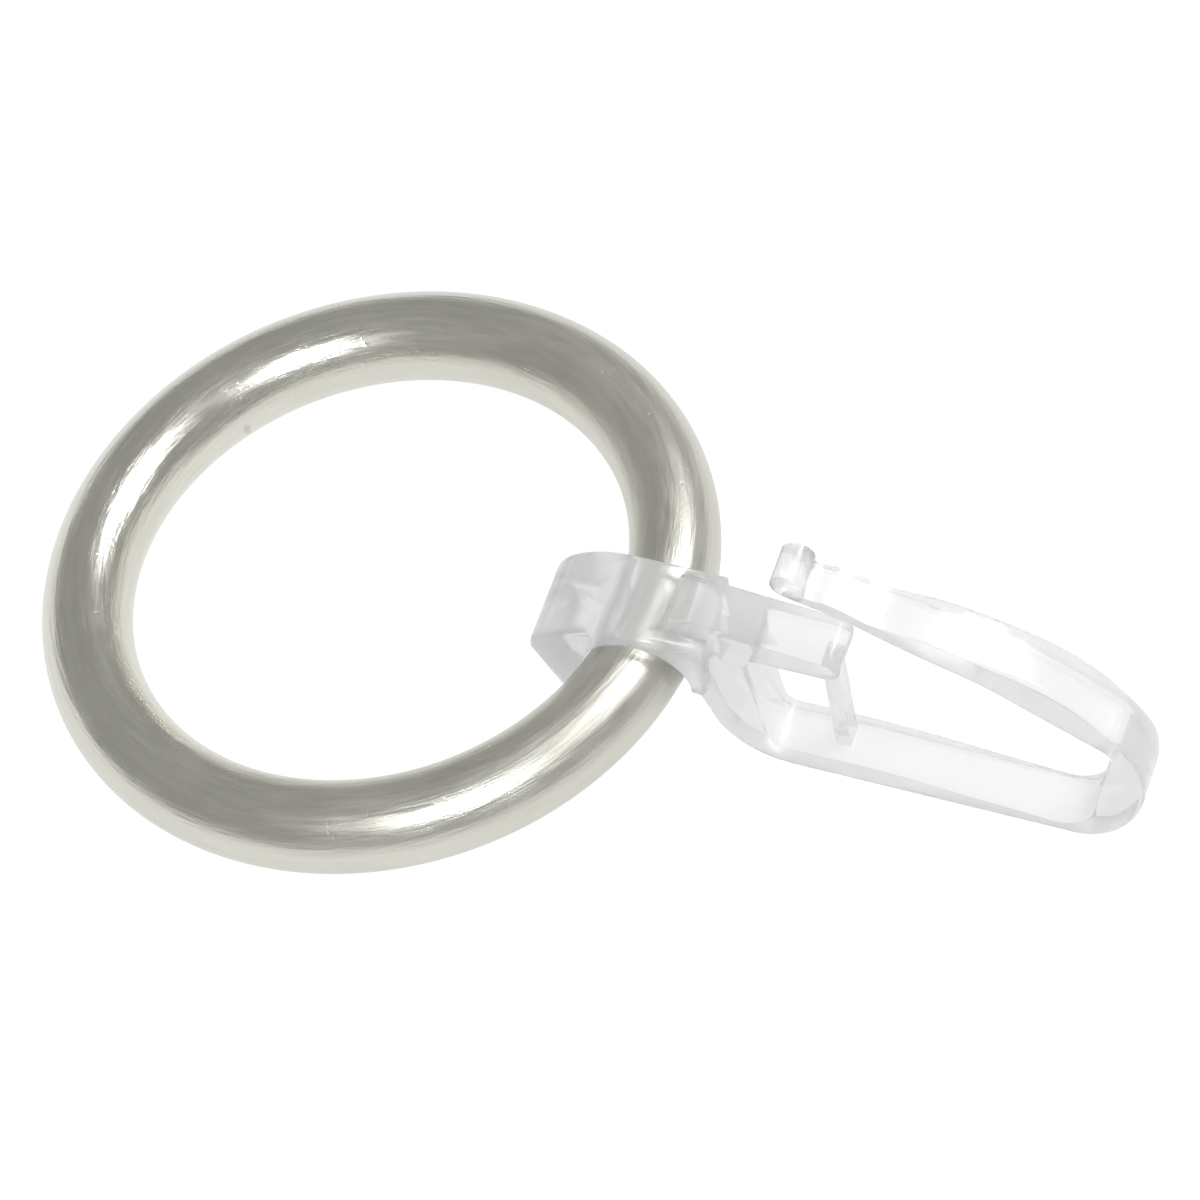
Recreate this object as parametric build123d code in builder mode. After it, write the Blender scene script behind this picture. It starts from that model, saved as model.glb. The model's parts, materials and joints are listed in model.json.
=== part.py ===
"""Curtain ring with a clear pleat hook clipped to it.

A closed metal ring leans with one side on the table and the other in the eye of a one-piece
moulded hook, whose lower arm lies flat. X runs along the hook, from the ring to the toe of the
loop, and Z is up. The hook's profile is drawn from the side: x from the middle of the ring's
tube in the eye, and height above the table. Lengths are in millimetres and angles in degrees.
"""
from build123d import *
import os
from math import asin, atan2, cos, hypot, radians, sin, sqrt, tan

os.makedirs("parts", exist_ok=True)

# Ring: a round bar bent to a closed circle
tube_radius = 2.5
ring_radius = 16.5

# The eye is loose, so the ring sits a little askew on the hook
ring_yaw = 4.2
bore_play = 0.15

# Eye: a thick clip, open below, that is pushed over the bar
eye_width = 5.5
roof = 0.55
shoulder = 0.65
jaw_wall = 3.05
brow_length = 5.0
brow_drop = 3.2
jaw_heel_angle = 208.5
jaw_heel_wall = 2.2
jaw_tip_angle = 242
jaw_tip_round = 0.87
jaw_tip_bite = 0.1
shoulder_drop = 0.45
eye_edge_round = 0.5

# Leg and lower arm: a flat strip under the eye
strip_width = 3.15
under_bore = 4.1
neck = 2.6
leg_slope = 69
heel_round = 4.7
heel_end = 8.1
window_foot = 7.0
arm_root = 1.8
arm_middle = 13.2
arm_thick = 1.85
arm_thin = 0.8
corner_round = 0.7
arm_bend_round = 20
strip_edge_round = 0.3

# Toe: the strip swells as it turns up
toe_reach = 27.75
toe_length = 3.9
toe_height = 6.2
toe_foot_wall = 3.2
toe_foot_round = 2.2
toe_top_wall = 1.9
toe_top_height = 8.6
toe_top_round = 0.8
toe_back = [(1.5, 10.05), (4.3, 12.85)]

# Tongue: it runs over the leg, inside the loop, and ends in a round nose
tongue_start = 1.4
tongue_step = 1.3
tongue_drop = 0.95
tongue_end = 11.0
tongue_thick = 2.6
nose_round = 0.8
step_round = 0.4

# Pin: a thin post from the tongue's nose to the lower arm
pin_top = 10.15
pin_foot = 10.75
pin_thick = 0.85
pin_width = 1.2
pin_sunk = 0.5

# Spring: the loop's upper arm, thinner and narrower towards its round bead
spring_from_toe = 8.2
spring_root_under = 12.25
spring_back = [(19.5, 14.57), (15.2, 15.5), (12.6, 15.8), (10.3, 16.6)]
spring_under = [(12.1, 15.2), (14.4, 14.27)]
bead_centre = (8.27, 17.15)
bead_radius = 0.92
bead_width = 2.1
neck_turn = radians(25)
under_turn = radians(14.5)

# How the ring lies in the eye and down to the table
yaw = radians(ring_yaw)
bar_sagitta = ring_radius - sqrt(ring_radius**2 - (eye_width / 2) ** 2)
bore_radius = tube_radius + bar_sagitta + tan(yaw) * eye_width / 2 + bore_play
seat_height = bore_radius + under_bore
lean = asin((seat_height - tube_radius) / (2 * ring_radius))
into_ring = Vector(-cos(lean) * cos(yaw), cos(lean) * sin(yaw), -sin(lean))
along_bar = Vector(sin(yaw), cos(yaw), 0)
ring_normal = along_bar.cross(into_ring)

# The origin is on the table, under the middle of the whole object
bar_at_eye = Vector(0, 0, seat_height)
ring_middle = bar_at_eye + into_ring * ring_radius
ring_half_length = ring_radius * sqrt(1 - ring_normal.X**2) + tube_radius
origin = Vector((ring_middle.X - ring_half_length + toe_reach) / 2, ring_middle.Y, 0)
bar_section = Plane(bar_at_eye - origin, x_dir=-into_ring, z_dir=along_bar)
ring_axis = Axis(ring_middle - origin, ring_normal)
side_view = Plane(Vector() - origin, x_dir=(1, 0, 0), z_dir=(0, -1, 0))
plan_view = Plane(Vector() - origin)


def around_bore(angle, wall):
    """A point of the side view, at an angle round the bore and so far outside it."""
    reach = bore_radius + wall
    return (reach * cos(radians(angle)), seat_height + reach * sin(radians(angle)))


def side_edges(part, least_offset, least_x, greatest_x):
    """The edges along a part's two sides whose middles lie between two places on the x axis."""

    def chosen(edge):
        middle = edge.center() + origin
        return abs(middle.Y) > least_offset and least_x < middle.X < greatest_x

    return part.edges().filter_by(chosen)


# Ring
with BuildPart() as ring:
    with BuildSketch(bar_section):
        Circle(tube_radius)
    revolve(axis=ring_axis)

# Eye, before it is bored
bore = (0, seat_height)
roof_top = seat_height + bore_radius + roof
eye_end = bore_radius + shoulder
brow_middle = (brow_length - bore_radius - jaw_wall, roof_top - brow_drop)
jaw_side = (brow_middle[0] - brow_length, brow_middle[1])
jaw_heel = around_bore(jaw_heel_angle, jaw_heel_wall)
jaw_tip = around_bore(jaw_tip_angle, jaw_tip_round - jaw_tip_bite)
tip_away = hypot(jaw_tip[0] - jaw_heel[0], jaw_tip[1] - jaw_heel[1])
tip_turn = atan2(jaw_tip[1] - jaw_heel[1], jaw_tip[0] - jaw_heel[0]) - asin(jaw_tip_round / tip_away)
tip_under = (jaw_tip[0] + jaw_tip_round * sin(tip_turn), jaw_tip[1] - jaw_tip_round * cos(tip_turn))

with BuildPart() as eye:
    with BuildSketch(side_view):
        with BuildLine():
            Polyline((eye_end, roof_top), (brow_middle[0], roof_top))
            EllipticalCenterArc(brow_middle, brow_length, brow_drop, start_angle=90, arc_size=90)
            Polyline(jaw_side, jaw_heel, tip_under, jaw_tip, bore)
            Polyline(bore, (eye_end, seat_height - shoulder_drop), (eye_end, roof_top))
        make_face()
        with Locations(jaw_tip):
            Circle(jaw_tip_round)
    extrude(amount=eye_width / 2, both=True)
    left_edges = side_edges(eye, eye_width / 2 - eye_edge_round, -2 * toe_reach, -bore_radius / 4)
    right_edges = side_edges(eye, eye_width / 2 - eye_edge_round, bore_radius / 2, toe_reach)
    fillet(left_edges + right_edges, eye_edge_round)

# Leg, lower arm, toe, spring and tongue, in one strip
leg_turn = radians(leg_slope)
leg_foot = (heel_end - heel_round * sin(leg_turn), heel_round * (1 - cos(leg_turn)))
leg_top = (leg_foot[0] - (seat_height - leg_foot[1]) / tan(leg_turn), seat_height)
toe_start = toe_reach - toe_length
toe_corner = Vector(toe_reach - toe_top_wall, toe_top_height)
spring_root = Vector(toe_reach - spring_from_toe, spring_root_under)
tongue_top = roof_top + tongue_step
tongue_under = tongue_top - tongue_thick
bead_left = (bead_centre[0] - bead_radius, bead_centre[1])
bead_joint = (bead_centre[0] + bead_radius * cos(neck_turn), bead_centre[1] - bead_radius * sin(neck_turn))
bead_under = (bead_centre[0] - bead_radius * sin(under_turn), bead_centre[1] - bead_radius * cos(under_turn))
inside_outline = [
    spring_root,
    toe_corner,
    (toe_reach - toe_foot_wall, arm_thin),
    (arm_middle, arm_thick),
    (window_foot, arm_root),
    (bore_radius + neck, tongue_under),
    (tongue_end, tongue_under),
    (tongue_end, tongue_top - tongue_drop),
    (tongue_start, tongue_top),
    (tongue_start, seat_height),
]
inside_rounds = [toe_top_round, toe_foot_round, arm_bend_round, corner_round]
inside_rounds += [corner_round, nose_round, nose_round, step_round]

with BuildPart() as strip:
    with BuildSketch(side_view):
        with BuildLine():
            Line(leg_top, leg_foot)
            RadiusArc(leg_foot, (heel_end, 0), -heel_round)
            Line((heel_end, 0), (toe_start, 0))
            EllipticalCenterArc((toe_start, toe_height), toe_length, toe_height, 270, arc_size=90)
            Spline(
                (toe_reach, toe_height),
                *[(toe_reach - back, height) for back, height in toe_back],
                *spring_back,
                bead_joint,
                tangents=[(0, 1), (-cos(neck_turn), sin(neck_turn))],
            )
            ThreePointArc(bead_joint, bead_left, bead_under)
            Spline(
                bead_under,
                *spring_under,
                spring_root,
                tangents=[(cos(under_turn), -sin(under_turn)), toe_corner - spring_root],
            )
            FilletPolyline(inside_outline, radius=inside_rounds)
            Line((tongue_start, seat_height), leg_top)
        make_face()
    extrude(amount=strip_width / 2, both=True)
    fillet(side_edges(strip, strip_width / 2 - strip_edge_round, eye_end, toe_reach), strip_edge_round)

# Pin
pin_line = [(pin_top, tongue_under + pin_sunk), (pin_foot, arm_root - pin_sunk)]
with BuildPart() as pin:
    with BuildSketch(side_view):
        Polygon(
            (pin_line[0][0] - pin_thick / 2, pin_line[0][1]),
            (pin_line[1][0] - pin_thick / 2, pin_line[1][1]),
            (pin_line[1][0] + pin_thick / 2, pin_line[1][1]),
            (pin_line[0][0] + pin_thick / 2, pin_line[0][1]),
            align=None,
        )
    extrude(amount=pin_width / 2, both=True)

# Two wedges, which narrow the upper arm towards its bead
arm_side = (spring_root.X, strip_width / 2)
bead_side = (bead_centre[0] - 2 * bead_radius, bead_width / 2)
with BuildPart() as trimmer:
    with BuildSketch(plan_view.offset(tongue_top - tongue_drop / 4)):
        with BuildLine():
            Polyline(arm_side, bead_side, (bead_side[0], strip_width), (arm_side[0], strip_width), arm_side)
        make_face()
        mirror(about=Plane.XZ)
    extrude(amount=toe_reach)

# The whole hook, bored for the bar
with BuildPart() as hook:
    add(strip.part)
    add(trimmer.part, mode=Mode.SUBTRACT)
    add(eye.part)
    add(pin.part)
    with BuildSketch(side_view):
        with Locations(bore):
            Circle(bore_radius)
    extrude(amount=eye_width, both=True, mode=Mode.SUBTRACT)

ring.part.label = "ring"
hook.part.label = "hook"
export_step(ring.part, "parts/ring.step")
export_step(hook.part, "parts/hook.step")
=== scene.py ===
# %% [markdown]
# Curtain ring with a clear pleat hook. The solids of this part already exist at their real size,
# so this lesson only dresses them: a satin nickel finish for the ring, and a clear moulded plastic
# for the hook. Everything is in metres, and X runs from the ring to the toe of the hook.

import json
from math import cos, pi, radians, sin

import bmesh
import bpy
from mathutils import Matrix, Vector


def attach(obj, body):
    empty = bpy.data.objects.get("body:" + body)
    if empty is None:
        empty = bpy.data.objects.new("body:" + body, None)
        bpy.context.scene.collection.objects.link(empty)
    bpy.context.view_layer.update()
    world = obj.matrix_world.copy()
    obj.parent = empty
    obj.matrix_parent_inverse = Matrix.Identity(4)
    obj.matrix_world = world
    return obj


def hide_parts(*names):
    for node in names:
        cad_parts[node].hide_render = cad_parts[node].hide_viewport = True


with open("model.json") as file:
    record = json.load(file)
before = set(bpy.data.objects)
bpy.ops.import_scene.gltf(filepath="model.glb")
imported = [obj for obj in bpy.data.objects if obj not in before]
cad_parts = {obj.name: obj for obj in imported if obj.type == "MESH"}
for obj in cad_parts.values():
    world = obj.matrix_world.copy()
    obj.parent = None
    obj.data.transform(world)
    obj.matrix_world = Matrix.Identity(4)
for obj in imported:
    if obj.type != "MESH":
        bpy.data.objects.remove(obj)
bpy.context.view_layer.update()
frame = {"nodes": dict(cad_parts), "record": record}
mm = 0.001

# %% [markdown]
# The camera stands where the photograph was taken: a long lens, rather high, a little to the
# right of the hook, and slightly tilted. It could be placed by its coordinates. It is placed by
# angles round one point of the part, because those are the numbers that a photographer would
# change.

# %% The camera
view_turn = 24.15
view_height = 56.91
view_tilt = -7.15
view_distance = 326.4 * mm
view_target = Vector((-0.37, 1.59, 5.0)) * mm
lens = 180
sensor_width = 36
nearest_seen = 0.01

turn = Matrix.Rotation(radians(view_turn), 4, "Z")
lift = Matrix.Rotation(radians(90 - view_height), 4, "X")
tilt = Matrix.Rotation(radians(view_tilt), 4, "Z")
away = turn @ lift @ Vector((0, 0, view_distance))

camera = bpy.data.objects.new("camera", bpy.data.cameras.new("camera"))
camera.data.lens = lens
camera.data.sensor_width = sensor_width
camera.data.clip_start = nearest_seen
camera.matrix_world = Matrix.Translation(view_target + away) @ turn @ lift @ tilt
bpy.context.scene.collection.objects.link(camera)
bpy.context.scene.camera = camera
print("camera at", [round(c / mm) for c in camera.matrix_world.translation], "mm")


# %% [markdown]
# Shader maths is easier to read as sums than as a net of nodes. `Wire` holds one socket, and its
# operators add the Math node that does the sum.

# %% Wires
class Wire:
    """One output socket of a node tree, which can be added, multiplied and so on."""

    def __init__(self, tree, socket):
        self.tree = tree
        self.socket = socket

    def math(self, operation, *others):
        node = self.tree.nodes.new("ShaderNodeMath")
        node.operation = operation
        for slot, value in zip(node.inputs, others):
            feed(self.tree, slot, value)
        return Wire(self.tree, node.outputs[0])

    def __add__(self, other):
        return self.math("ADD", self, other)

    def __radd__(self, other):
        return self.math("ADD", other, self)

    def __sub__(self, other):
        return self.math("SUBTRACT", self, other)

    def __rsub__(self, other):
        return self.math("SUBTRACT", other, self)

    def __mul__(self, other):
        return self.math("MULTIPLY", self, other)

    def __rmul__(self, other):
        return self.math("MULTIPLY", other, self)

    def __truediv__(self, other):
        return self.math("DIVIDE", self, other)

    def __pow__(self, other):
        return self.math("POWER", self, other)


def feed(tree, slot, value):
    """Give a socket a number, a colour or another socket."""
    if isinstance(value, Wire):
        tree.links.new(value.socket, slot)
    else:
        slot.default_value = value


print("wires can be added, subtracted, multiplied, divided and raised")


# %% [markdown]
# Every other node comes from one call: its kind, then its settings, because some settings change
# which sockets it has, and then the numbers or wires of its sockets. A colour ramp's stops count
# as settings. A node with several outputs gives back as many wires as are named.

# %% Nodes
def set_stops(elements, stops):
    """Give a colour ramp its stops, each a place and a colour."""
    while len(elements) < len(stops):
        elements.new(0.5)
    for element, (place, colour) in zip(elements, stops):
        element.position = place
        element.color = (*colour, 1)


def add_node(tree, kind, settings=None, values=None, output=0):
    """Add a node, set it up and fill its sockets; the wanted output, or outputs, come back."""
    node = tree.nodes.new(kind)
    for name, value in (settings or {}).items():
        if name == "stops":
            set_stops(node.color_ramp.elements, value)
        else:
            setattr(node, name, value)
    for name, value in (values or {}).items():
        feed(tree, node.inputs[name], value)
    if isinstance(output, tuple):
        return [Wire(tree, node.outputs[name]) for name in output]
    return Wire(tree, node.outputs[output])


black, white = (0, 0, 0), (1, 1, 1)
print("a ramp's stops go from", black, "to", white)


# %% [markdown]
# `Finish` is one material. Its surface is the Principled shader, which is filled by the names of
# its sockets, and whatever else reaches the material's output goes there by name too.

# %% Finishes
class Finish:
    """A material whose Principled shader is filled from numbers and wires."""

    def __init__(self, name):
        self.material = bpy.data.materials.new(name)
        self.material.use_nodes = True
        self.tree = self.material.node_tree
        self.shader = self.tree.nodes["Principled BSDF"]

    def node(self, kind, settings=None, values=None, output=0):
        return add_node(self.tree, kind, settings, values, output)

    def ramp(self, factor, stops):
        return self.node("ShaderNodeValToRGB", {"stops": stops}, {"Fac": factor})

    def surface(self, **values):
        """Fill the shader's own sockets."""
        for name, value in values.items():
            feed(self.tree, self.shader.inputs[name.replace("_", " ")], value)

    def output(self, name, value):
        """Wire a shader to the material's output."""
        feed(self.tree, self.tree.nodes["Material Output"].inputs[name], value)


object_place = "Object"
print("patterns read the output", object_place, "of Texture Coordinate")

# %% [markdown]
# The ring is bent from round bar and welded shut. The frame says where its middle and its axis
# are, and how thick the bar is, so none of that is typed in here. The ring's own frame has its
# first direction towards the hook's eye.

# %% Where the ring lies
hole = next(m for m in frame["record"]["mounts"] if m["name"] == "pole_hole")
ring_middle = Vector(hole["pos_m"])
ring_axis = Vector(hole["axis"]).normalized()
bar_radius = hole["dims"]["length_mm"] * mm / 2
bend_radius = hole["dims"]["r_mm"] * mm + bar_radius
eye = Vector(frame["record"]["behaviour"]["joints"][0]["pos_m"])
towards_eye = (eye - ring_middle).normalized()
ring_place = Matrix.Translation(ring_middle) @ Matrix(
    (towards_eye, ring_axis.cross(towards_eye), ring_axis)
).transposed().to_4x4()
print("bar of", round(2 * bar_radius / mm, 2), "mm, bent to", round(bend_radius / mm, 2), "mm")

# %% [markdown]
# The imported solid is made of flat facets, and a bright metal shows each of them. The visible ring
# could be that solid with a finer mesh. One circle spun round an axis is simpler, and a spin keeps
# the section truly round.

# %% The ring
bar_steps = 72
ring_steps = 288
merge_gap = 0.001 * mm
form = bmesh.new()
start = Matrix.Translation((bend_radius, 0, 0)) @ Matrix.Rotation(pi / 2, 4, "X")
bmesh.ops.create_circle(form, segments=bar_steps, radius=bar_radius, matrix=start)
bmesh.ops.spin(
    form,
    geom=form.edges[:],
    axis=(0, 0, 1),
    cent=(0, 0, 0),
    angle=2 * pi,
    steps=ring_steps,
    use_merge=True,
)
bmesh.ops.remove_doubles(form, verts=form.verts[:], dist=merge_gap)
bmesh.ops.transform(form, matrix=ring_place, verts=form.verts[:])
bmesh.ops.recalc_face_normals(form, faces=form.faces[:])
for face in form.faces:
    face.smooth = True
ring_mesh = bpy.data.meshes.new("ring_bar")
form.to_mesh(ring_mesh)
form.free()
ring_bar = bpy.data.objects.new("ring_bar", ring_mesh)
bpy.context.scene.collection.objects.link(ring_bar)
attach(ring_bar, "ring")
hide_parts("ring")
print("ring bar faces", len(ring_mesh.polygons))

# %% [markdown]
# The hook is moulded in one shot. Its solid has every corner already, so the visible piece is a
# copy of it whose loose triangles are merged. Clear plastic shows each facet, so the copy is
# shaded smooth, and its flats are kept flat by weighting the normals by area.

# %% The hook
sharp_corner = 35
flats_weight = 80
hook_mesh = frame["nodes"]["hook"].data.copy()
hook_mesh.name = "hook_moulding"
form = bmesh.new()
form.from_mesh(hook_mesh)
bmesh.ops.remove_doubles(form, verts=form.verts[:], dist=merge_gap / 2)
for face in form.faces:
    face.smooth = True
form.to_mesh(hook_mesh)
form.free()
hook_moulding = bpy.data.objects.new("hook_moulding", hook_mesh)
bpy.context.scene.collection.objects.link(hook_moulding)
hook_mesh.set_sharp_from_angle(angle=radians(sharp_corner))
steady = hook_moulding.modifiers.new("steady flats", "WEIGHTED_NORMAL")
steady.keep_sharp = True
steady.weight = flats_weight
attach(hook_moulding, "hook")
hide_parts("hook")
print("hook triangles", len(hook_mesh.polygons))

# %% [markdown]
# Satin nickel is a mirror that has been brushed. Its pattern follows the bar, so the finish first
# needs the ring's own directions: how far a point lies outside the bend, how high it is above the
# ring's middle plane, and where it is round the ring. A Mapping node turns the object's place
# into the ring's frame, and the rest is sums.

# %% The ring's own directions
nickel = Finish("satin_nickel")
place = nickel.node("ShaderNodeTexCoord", output=object_place)
own = nickel.node(
    "ShaderNodeMapping",
    {"vector_type": "TEXTURE"},
    {"Vector": place, "Location": ring_middle, "Rotation": ring_place.to_euler()},
)
x, y, z = nickel.node("ShaderNodeSeparateXYZ", None, {"Vector": own}, output=("X", "Y", "Z"))
from_axis = (x * x + y * y) ** 0.5
outward = from_axis - bend_radius
round_x = x / from_axis
round_y = y / from_axis
print("the nickel's directions take", len(nickel.tree.nodes) - 2, "nodes")


# %% [markdown]
# The brushing runs round the bar, because the bar was polished on a belt before it was bent. The
# Anisotropic socket could blur the shine in one direction, but it draws no lines. So the lines
# are noise that is stretched along the ring. The place round the ring goes in as a cosine and a
# sine, with noise in four dimensions, so that the lines close without a seam.

# %% Lines round the bar
def along_lines(stretch, fineness, detail):
    """Noise that runs in lines round the bar: slow round the ring, fast across the bar."""
    vector = nickel.node(
        "ShaderNodeCombineXYZ",
        None,
        {"X": outward * fineness, "Y": z * fineness, "Z": round_x * stretch},
    )
    return nickel.node(
        "ShaderNodeTexNoise",
        {"noise_dimensions": "4D"},
        {
            "Vector": vector,
            "W": round_y * stretch,
            "Scale": 1.0,
            "Detail": detail,
            "Roughness": 0.6,
        },
    )


fine, broad = 3600, 1100
fine_lines = along_lines(stretch=6, fineness=fine, detail=5)
broad_lines = along_lines(stretch=3, fineness=broad, detail=1)
clouds = nickel.node("ShaderNodeTexNoise", None, {"Vector": place, "Scale": 260, "Detail": 3})
print("lines are about", [round(1 / number / mm, 2) for number in (fine, broad)], "mm apart")

# %% [markdown]
# A ring that slides on a pole gets small nicks, which are short pieces of the same lines. Inside
# the ring is the weld, where the bar's ends meet: a small dull dent that the polishing belt
# didn't reach. It is an egg round one point of the bar. The three sums below are distances from
# that point, in sizes of the weld.

# %% Nicks and the weld
nick_noise = along_lines(stretch=34, fineness=1900, detail=2)
nicks = nickel.ramp(0.6 * nick_noise + 0.4 * clouds, [(0.61, black), (0.68, white)])

weld_angle = 147.3
weld_size = 0.34 * mm
weld_drop = 0.5 * mm
weld_turn = radians(weld_angle)
along = (round_y * cos(weld_turn) - round_x * sin(weld_turn)) * (bend_radius / weld_size)
inward = (outward + bar_radius) * (1 / weld_size)
below = (z + weld_drop) * (0.5 / weld_size)
weld = nickel.ramp(
    along * along + inward * inward + below * below, [(0.3, white), (1.0, black)]
)
print("weld of", round(2 * weld_size / mm, 2), "mm, at", weld_angle, "degrees from the eye")

# %% [markdown]
# Now the lines go where the eye finds them. The bump catches the lamps, the roughness breaks up
# the shine, and the colour varies by a tenth, darker in the weld. The side near the hook's eye,
# where the ring is handled and the hook rubs it, is a little rougher than the far side.

# %% Satin nickel
nickel_colour = (0.66, 0.652, 0.588)
brush_depth = 0.04 * mm


def tint(part):
    """The nickel's colour, made darker or lighter."""
    return [c * part for c in nickel_colour]


brushing = nickel.node(
    "ShaderNodeBump",
    None,
    {
        "Strength": 1.0,
        "Distance": brush_depth,
        "Height": fine_lines + broad_lines - 0.25 * nicks - weld,
    },
)
nickel.surface(
    Base_Color=nickel.ramp(
        0.5 * fine_lines + 0.3 * broad_lines + 0.2 * clouds - 0.4 * weld,
        [(0.1, tint(0.78)), (0.3, tint(0.92)), (0.36, tint(0.92)), (0.62, tint(1.05))],
    ),
    Metallic=1.0,
    Roughness=0.13 + 0.24 * fine_lines + 0.12 * clouds + 0.08 * round_x,
    Normal=brushing,
)
ring_mesh.materials.append(nickel.material)
print("satin nickel has", len(nickel.tree.nodes), "nodes")

# %% [markdown]
# The hook is moulded from a clear plastic that is a little milky. It could be plain glass, but
# glass has black edges and shows the metal behind it sharply, and this plastic shows neither. So
# three tenths of the light is scattered, and Alpha lets some of the rest straight through. The
# faces aren't quite flat, because the plastic shrinks as it cools, and the mould leaves a faint
# flow in the polish.

# %% Clear plastic
plastic = Finish("clear_plastic")
place = plastic.node("ShaderNodeTexCoord", output=object_place)
shrinkage = plastic.node("ShaderNodeTexNoise", None, {"Vector": place, "Scale": 260, "Detail": 1})
flow = plastic.node("ShaderNodeTexNoise", None, {"Vector": place, "Scale": 900, "Detail": 2})
ripple_depth = 0.08 * mm
ripple = plastic.node(
    "ShaderNodeBump",
    None,
    {"Strength": 0.5, "Distance": ripple_depth, "Height": shrinkage + 0.2 * flow},
)
plastic.surface(
    Base_Color=(0.87, 0.87, 0.875, 1),
    Roughness=0.1 + 0.12 * flow,
    IOR=1.42,
    Transmission_Weight=0.7,
    Alpha=0.84,
    Normal=ripple,
)
print("clear plastic's surface has", len(plastic.tree.nodes), "nodes")

# %% [markdown]
# Thick places, such as the eye's jaw, are greyer than the thin arm. A darker surface colour would
# grey both alike. Absorption inside the plastic grows with the way that light goes through it.

# %% The plastic's thickness
thickness = plastic.node(
    "ShaderNodeVolumeAbsorption", None, {"Color": (0.2, 0.2, 0.22, 1), "Density": 16}
)
plastic.output("Volume", thickness)
hook_mesh.materials.clear()
hook_mesh.materials.append(plastic.material)
print("clear plastic has", len(plastic.tree.nodes), "nodes")

# %% [markdown]
# The part lies on white paper that has no edge in the picture. Stronger lamps would whiten it,
# but they would bleach the part too. So the paper glows to the camera, to mirrors and through the
# plastic, and the matt rest of the mix keeps the soft shadow.

# %% Paper
paper_size = 1.6
paper_drop = 0.02 * mm
glow_share = 0.88
bpy.ops.mesh.primitive_plane_add(size=paper_size, location=(0, 0, -paper_drop))
paper = bpy.context.object
paper.name = "paper"
white_paper = Finish("white_paper")
seen, mirrored, through = white_paper.node(
    "ShaderNodeLightPath", output=("Is Camera Ray", "Is Glossy Ray", "Is Transmission Ray")
)
glow = white_paper.node("ShaderNodeEmission", None, {"Color": (1, 1, 1, 1), "Strength": 1.07})
matt = white_paper.node("ShaderNodeBsdfDiffuse", None, {"Color": (0.9, 0.9, 0.9, 1)})
shown = white_paper.node(
    "ShaderNodeMixShader", None, {"Fac": glow_share * (seen + mirrored + through)}
)
for slot, shader in zip(shown.socket.node.inputs[1:], (matt, glow)):
    feed(white_paper.tree, slot, shader)
white_paper.output("Surface", shown)
paper.data.materials.append(white_paper.material)
print("paper of", paper_size, "m")

# %% [markdown]
# Round the table is a plain pale room. It gives the metal something soft to mirror. Straight to
# the camera it is white, and through the plastic it is nearly white, so that the hook's inner
# walls reflect a bright room, as they do on a photographer's table.

# %% The room
room_light = 0.4
white_to_camera = 0.6
white_through_plastic = 0.55
world = bpy.data.worlds.new("studio")
bpy.context.scene.world = world
world.use_nodes = True
sky = world.node_tree
backdrop = sky.nodes["Background"]
seen, through = add_node(
    sky, "ShaderNodeLightPath", output=("Is Camera Ray", "Is Transmission Ray")
)
backdrop.inputs["Color"].default_value = (1, 1, 1, 1)
strength = room_light + white_to_camera * seen + white_through_plastic * through
feed(sky, backdrop.inputs["Strength"], strength)
print("room light", room_light)


# %% [markdown]
# Two soft boxes hang over the table. A bright metal bar shows each lamp as a band, and the places
# of the bands on the ring tell where the lamps were: a wide one behind, to the right, and a small
# one in front.

# %% Lamps
def soft_light(name, where, size, power):
    """A soft box that faces the part from so many millimetres away."""
    light = bpy.data.lights.new(name, "AREA")
    light.shape = "RECTANGLE"
    light.size, light.size_y = (side * mm for side in size)
    light.energy = power
    lamp = bpy.data.objects.new(name, light)
    lamp.location = Vector(where) * mm
    lamp.rotation_euler = (-Vector(where)).to_track_quat("-Z", "Y").to_euler()
    bpy.context.scene.collection.objects.link(lamp)


soft_light("window", (220, 245, 520), (300, 200), 2.0)
soft_light("front_box", (140, -310, 520), (100, 100), 1.7)
print("lamps", [lamp.name for lamp in bpy.data.lights])

# %% [markdown]
# Last, the colours are shown as they are written.

# %% The end
bpy.context.scene.view_settings.view_transform = "Standard"
